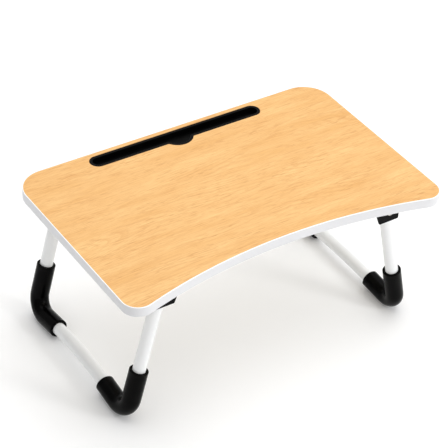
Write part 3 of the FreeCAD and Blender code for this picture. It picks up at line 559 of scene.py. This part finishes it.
# The hinge rivets: nickel-plated steel, set cold through bracket and leg in a press.
# The domed head shows on the outside of each bracket, and the tail is rolled over a small hollow.
NICKEL_BRIGHT = "CFCBC2"
NICKEL_WORN = "A8A39A"
NICKEL_SCRATCH = (0.0030, 0.0030, 0.0006)
NICKEL_ROUGHNESS = (0.18, 0.36)
RIVET_SHANK_RADIUS = 0.0030
RIVET_SHANK_SIDES = 32
RIVET_HEAD_RADIUS = 0.0055
RIVET_HEAD_HEIGHT = 0.0024
RIVET_HEAD_FULLNESS = 2.0
RIVET_TAIL_RADIUS = 0.0050
RIVET_TAIL_HEIGHT = 0.0016
RIVET_TAIL_FULLNESS = 4.0
RIVET_HOLLOW_RADIUS = 0.0018
RIVET_HOLLOW_SIDES = 24
RIVET_HOLLOW_DEPTH = 0.0012
# The head and the tail each sit this far from the middle of the bracket.
RIVET_SEAT = 0.0151

nickel_finish, tree, shader = start_material("nickel_plated_steel", {"Metallic": 1.0})
place = add_node(tree, "ShaderNodeTexCoord", {}, {}).outputs["Object"]
scratch_place = add_node(tree, "ShaderNodeMapping", {},
                         {"Vector": place, "Scale": per_metre(NICKEL_SCRATCH)})
scratches = add_node(tree, "ShaderNodeTexNoise", {},
                     {"Vector": scratch_place.outputs[0], "Scale": 1.0, "Detail": 4.0})
nickel_colour = add_node(tree, "ShaderNodeMix", {"data_type": "RGBA"},
                         {MIX_SHARE: scratches.outputs["Fac"], MIX_FIRST: linear(NICKEL_BRIGHT),
                          MIX_SECOND: linear(NICKEL_WORN)})
tree.links.new(nickel_colour.outputs[MIX_RESULT], shader.inputs["Base Color"])
nickel_roughness = add_node(tree, "ShaderNodeMapRange", {},
                            {"Value": scratches.outputs["Fac"],
                             "To Min": NICKEL_ROUGHNESS[0], "To Max": NICKEL_ROUGHNESS[1]})
tree.links.new(nickel_roughness.outputs[0], shader.inputs["Roughness"])

rivet_sizes = {"Shank Radius": RIVET_SHANK_RADIUS, "Head Radius": RIVET_HEAD_RADIUS,
               "Head Height": RIVET_HEAD_HEIGHT, "Tail Radius": RIVET_TAIL_RADIUS,
               "Tail Height": RIVET_TAIL_HEIGHT, "Hollow Radius": RIVET_HOLLOW_RADIUS,
               "Hollow Depth": RIVET_HOLLOW_DEPTH, "Seat": RIVET_SEAT}
tree, given = start_maker("rivet_maker", rivet_sizes)
seat_place = add_node(tree, "ShaderNodeCombineXYZ", {}, {"Z": given["Seat"]})
head = add_dome(tree, given["Head Radius"], given["Head Height"], RIVET_HEAD_FULLNESS)
set_head = add_node(tree, "GeometryNodeTransform", {},
                    {"Geometry": head.outputs[0], "Translation": seat_place.outputs[0]})
tail = add_dome(tree, given["Tail Radius"], given["Tail Height"], RIVET_TAIL_FULLNESS)
set_tail = add_node(tree, "GeometryNodeTransform", {},
                    {"Geometry": tail.outputs[0], "Translation": seat_place.outputs[0]})
turned_tail = add_node(tree, "GeometryNodeTransform", {},
                       {"Geometry": set_tail.outputs[0], "Rotation": (math.pi, 0, 0)})
pin_length = add_node(tree, "ShaderNodeMath", {"operation": "MULTIPLY"},
                      {0: given["Seat"], 1: 2 * (1 + SHANK_OVERLAP)})
pin = add_node(tree, "GeometryNodeMeshCylinder", {},
               {"Vertices": RIVET_SHANK_SIDES, "Radius": given["Shank Radius"],
                "Depth": pin_length.outputs[0]})
whole = add_node(tree, "GeometryNodeMeshBoolean", {"operation": "UNION", "solver": "EXACT"}, {})
for part in (set_head, turned_tail, pin):
    tree.links.new(part.outputs[0], whole.inputs["Mesh 2"])
hollow_height = add_node(tree, "ShaderNodeMath", {"operation": "MULTIPLY"},
                         {0: given["Hollow Depth"], 1: 2.0})
hollow = add_node(tree, "GeometryNodeMeshCylinder", {},
                  {"Vertices": RIVET_HOLLOW_SIDES, "Radius": given["Hollow Radius"],
                   "Depth": hollow_height.outputs[0]})
tail_end = add_node(tree, "ShaderNodeMath", {"operation": "ADD"},
                    {0: given["Seat"], 1: given["Tail Height"]})
below = add_node(tree, "ShaderNodeMath", {"operation": "MULTIPLY"}, {0: tail_end.outputs[0], 1: -1.0})
hollow_place = add_node(tree, "ShaderNodeCombineXYZ", {}, {"Z": below.outputs[0]})
set_hollow = add_node(tree, "GeometryNodeTransform", {},
                      {"Geometry": hollow.outputs[0], "Translation": hollow_place.outputs[0]})
cut = add_node(tree, "GeometryNodeMeshBoolean", {"operation": "DIFFERENCE", "solver": "EXACT"},
               {"Mesh 1": whole.outputs[0], "Mesh 2": set_hollow.outputs[0]})
# Each head faces away from the middle of the table, so the way out from there turns the rivet.
position = add_node(tree, "GeometryNodeInputPosition", {}, {})
spot = add_node(tree, "ShaderNodeSeparateXYZ", {}, {0: position.outputs[0]})
way_out = add_node(tree, "ShaderNodeCombineXYZ", {}, {"Y": spot.outputs["Y"]})
rivet_turn = add_node(tree, "FunctionNodeAlignRotationToVector", {"axis": "Z"},
                      {"Vector": way_out.outputs[0]})
finish_maker(tree, given["Places"], cut.outputs[0], rivet_turn.outputs[0], nickel_finish)

rivet_places = [hinge_place(corner) for corner in corners]
rivets = make_on_places("domed_hinge_rivets", rivet_places, tree, rivet_sizes)
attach(rivets, "top")
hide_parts(*[f"{corner}_hinge_rivet" for corner in corners])


# The leg tubes: drawn steel tube, bent cold into a U and coated with white powder.
# The baked powder flows to a gloss with a slight orange peel.
POWDER_WHITE = "F5F6F6"
POWDER_SHADE = "EFF0F0"
ORANGE_PEEL = 0.0028
ORANGE_PEEL_DEPTH = 0.00002
POWDER_CLOUD = 0.05
POWDER_ROUGHNESS = (0.26, 0.36)

tube_finish, tree, shader = start_material("white_powder_coat",
                                           {"IOR": 1.5, "Coat Weight": 0.35, "Coat Roughness": 0.12})
place = add_node(tree, "ShaderNodeTexCoord", {}, {}).outputs["Object"]
cloud = add_node(tree, "ShaderNodeTexNoise", {},
                 {"Vector": place, "Scale": 1 / POWDER_CLOUD, "Detail": 2.0})
powder_colour = add_node(tree, "ShaderNodeMix", {"data_type": "RGBA"},
                         {MIX_SHARE: cloud.outputs["Fac"], MIX_FIRST: linear(POWDER_WHITE),
                          MIX_SECOND: linear(POWDER_SHADE)})
tree.links.new(powder_colour.outputs[MIX_RESULT], shader.inputs["Base Color"])
peel = add_node(tree, "ShaderNodeTexNoise", {}, {"Vector": place, "Scale": 1 / ORANGE_PEEL, "Detail": 1.0})
peel_relief = add_node(tree, "ShaderNodeBump", {},
                       {"Height": peel.outputs["Fac"], "Strength": 0.5, "Distance": ORANGE_PEEL_DEPTH})
tree.links.new(peel_relief.outputs[0], shader.inputs["Normal"])
powder_roughness = add_node(tree, "ShaderNodeMapRange", {},
                            {"Value": cloud.outputs["Fac"],
                             "To Min": POWDER_ROUGHNESS[0], "To Max": POWDER_ROUGHNESS[1]})
tree.links.new(powder_roughness.outputs[0], shader.inputs["Roughness"])
for side in ("left", "right"):
    give_material(f"{side}_leg_tube", tube_finish)


# The tube plugs: black polyethylene caps, pushed into the open upper ends of the tubes.
# The soft plastic is waxy, and its face is scuffed where it rubs in the bracket.
PLUG_BLACK = "0A0A0A"
PLUG_SCUFF = "262626"
PLUG_SCUFF_SIZE = 0.0025
PLUG_SCUFF_FADE = (0.52, 0.72)
PLUG_ROUGHNESS = (0.40, 0.60)

plug_finish, tree, shader = start_material("moulded_black_polyethylene",
                                           {"IOR": 1.52, "Specular IOR Level": 0.3})
place = add_node(tree, "ShaderNodeTexCoord", {}, {}).outputs["Object"]
scuff = add_node(tree, "ShaderNodeTexNoise", {},
                 {"Vector": place, "Scale": 1 / PLUG_SCUFF_SIZE, "Detail": 5.0})
scuff_share = add_node(tree, "ShaderNodeMapRange", {},
                       {"Value": scuff.outputs["Fac"],
                        "From Min": PLUG_SCUFF_FADE[0], "From Max": PLUG_SCUFF_FADE[1]})
plug_colour = add_node(tree, "ShaderNodeMix", {"data_type": "RGBA"},
                       {MIX_SHARE: scuff_share.outputs[0], MIX_FIRST: linear(PLUG_BLACK),
                        MIX_SECOND: linear(PLUG_SCUFF)})
tree.links.new(plug_colour.outputs[MIX_RESULT], shader.inputs["Base Color"])
plug_roughness = add_node(tree, "ShaderNodeMapRange", {},
                          {"Value": scuff.outputs["Fac"],
                           "To Min": PLUG_ROUGHNESS[0], "To Max": PLUG_ROUGHNESS[1]})
tree.links.new(plug_roughness.outputs[0], shader.inputs["Roughness"])
for corner in corners:
    give_material(f"{corner}_tube_plug", plug_finish)


# The foot sleeves: black rubber elbows, moulded in one piece and pushed over the bends of the tubes.
# The floor has greyed their lowest edge with scuffs, and above it the rubber is black with a soft shine.
RUBBER_BLACK = "010101"
RUBBER_SCUFF = "0E0E0D"
RUBBER_GRAIN = 0.0011
RUBBER_GRAIN_DEPTH = 0.00002
SCUFF_SIZE = 0.012
SCUFF_HEIGHT = 0.006
SCUFF_LEAST = 0.15
RUBBER_ROUGHNESS = (0.18, 0.30)

rubber_finish, tree, shader = start_material("moulded_black_rubber",
                                             {"IOR": 1.52, "Specular IOR Level": 0.05})
place = add_node(tree, "ShaderNodeTexCoord", {}, {}).outputs["Object"]
grain = add_node(tree, "ShaderNodeTexNoise", {},
                 {"Vector": place, "Scale": 1 / RUBBER_GRAIN, "Detail": 3.0})
scuff = add_node(tree, "ShaderNodeTexNoise", {}, {"Vector": place, "Scale": 1 / SCUFF_SIZE, "Detail": 5.0})
height = add_node(tree, "ShaderNodeSeparateXYZ", {}, {0: place})
near_floor = add_node(tree, "ShaderNodeMapRange", {},
                      {"Value": height.outputs["Z"], "From Max": SCUFF_HEIGHT,
                       "To Min": 1.0, "To Max": SCUFF_LEAST})
scuff_share = add_node(tree, "ShaderNodeMath", {"operation": "MULTIPLY"},
                       {0: near_floor.outputs[0], 1: scuff.outputs["Fac"]})
rubber_colour = add_node(tree, "ShaderNodeMix", {"data_type": "RGBA"},
                         {MIX_SHARE: scuff_share.outputs[0], MIX_FIRST: linear(RUBBER_BLACK),
                          MIX_SECOND: linear(RUBBER_SCUFF)})
tree.links.new(rubber_colour.outputs[MIX_RESULT], shader.inputs["Base Color"])
rubber_roughness = add_node(tree, "ShaderNodeMapRange", {},
                            {"Value": scuff.outputs["Fac"],
                             "To Min": RUBBER_ROUGHNESS[0], "To Max": RUBBER_ROUGHNESS[1]})
tree.links.new(rubber_roughness.outputs[0], shader.inputs["Roughness"])
rubber_relief = add_node(tree, "ShaderNodeBump", {},
                         {"Height": grain.outputs["Fac"], "Strength": 0.5, "Distance": RUBBER_GRAIN_DEPTH})
tree.links.new(rubber_relief.outputs[0], shader.inputs["Normal"])
for corner in corners:
    give_material(f"{corner}_foot_sleeve", rubber_finish)


# The studio: a plain pale paper floor inside a white tent that is brighter on its right side,
# a large soft box overhead and a smaller one in front on the right. The paper glows a little,
# as on a light table, which softens the shadows.
PAPER_WHITE = "FBFBFB"
PAPER_GLOW = 0.06
FLOOR_REACH = 20.0
LIGHT_WHITE = (1, 1, 1, 1)
TENT_LEFT = 0.38
TENT_RIGHT = 1.05
TABLE_MIDDLE = Vector((0, 0, 0.15))
OVERHEAD_PLACE = Vector((0.2, 0.3, 2.2))
OVERHEAD_WIDTH = 2.4
OVERHEAD_POWER = 26
FRONT_RIGHT_PLACE = Vector((1.2, -2.0, 1.4))
FRONT_RIGHT_WIDTH = 0.45
FRONT_RIGHT_POWER = 14

floor_mesh = bpy.data.meshes.new("studio_floor")
floor_corners = [(x * FLOOR_REACH, y * FLOOR_REACH, 0) for x, y in ((-1, -1), (1, -1), (1, 1), (-1, 1))]
floor_mesh.from_pydata(floor_corners, [], [(0, 1, 2, 3)])
floor = bpy.data.objects.new("studio_floor", floor_mesh)
scene.collection.objects.link(floor)
paper_surface = {"Base Color": linear(PAPER_WHITE), "Roughness": 0.9, "Specular IOR Level": 0.1,
                 "Emission Color": LIGHT_WHITE, "Emission Strength": PAPER_GLOW}
floor_mesh.materials.append(start_material("matt_white_paper", paper_surface)[0])

world = bpy.data.worlds.new("studio")
scene.world = world
world.use_nodes = True
tree = world.node_tree
tent = tree.nodes["Background"]
tent.inputs["Color"].default_value = LIGHT_WHITE
tent_way = add_node(tree, "ShaderNodeTexCoord", {}, {}).outputs["Generated"]
tent_side = add_node(tree, "ShaderNodeSeparateXYZ", {}, {0: tent_way})
tent_light = add_node(tree, "ShaderNodeMapRange", {},
                      {"Value": tent_side.outputs["X"], "From Min": -1.0, "From Max": 1.0,
                       "To Min": TENT_LEFT, "To Max": TENT_RIGHT})
tree.links.new(tent_light.outputs[0], tent.inputs["Strength"])


def add_soft_box(name, place, width, power):
    """Hang a square area light at a place, turned towards the table."""
    light = bpy.data.lights.new(name, "AREA")
    light.size = width
    light.energy = power
    lamp = bpy.data.objects.new(name, light)
    lamp.location = place
    lamp.rotation_mode = "QUATERNION"
    lamp.rotation_quaternion = (TABLE_MIDDLE - place).to_track_quat("-Z", "Y")
    scene.collection.objects.link(lamp)


add_soft_box("overhead_soft_box", OVERHEAD_PLACE, OVERHEAD_WIDTH, OVERHEAD_POWER)
add_soft_box("front_right_soft_box", FRONT_RIGHT_PLACE, FRONT_RIGHT_WIDTH, FRONT_RIGHT_POWER)
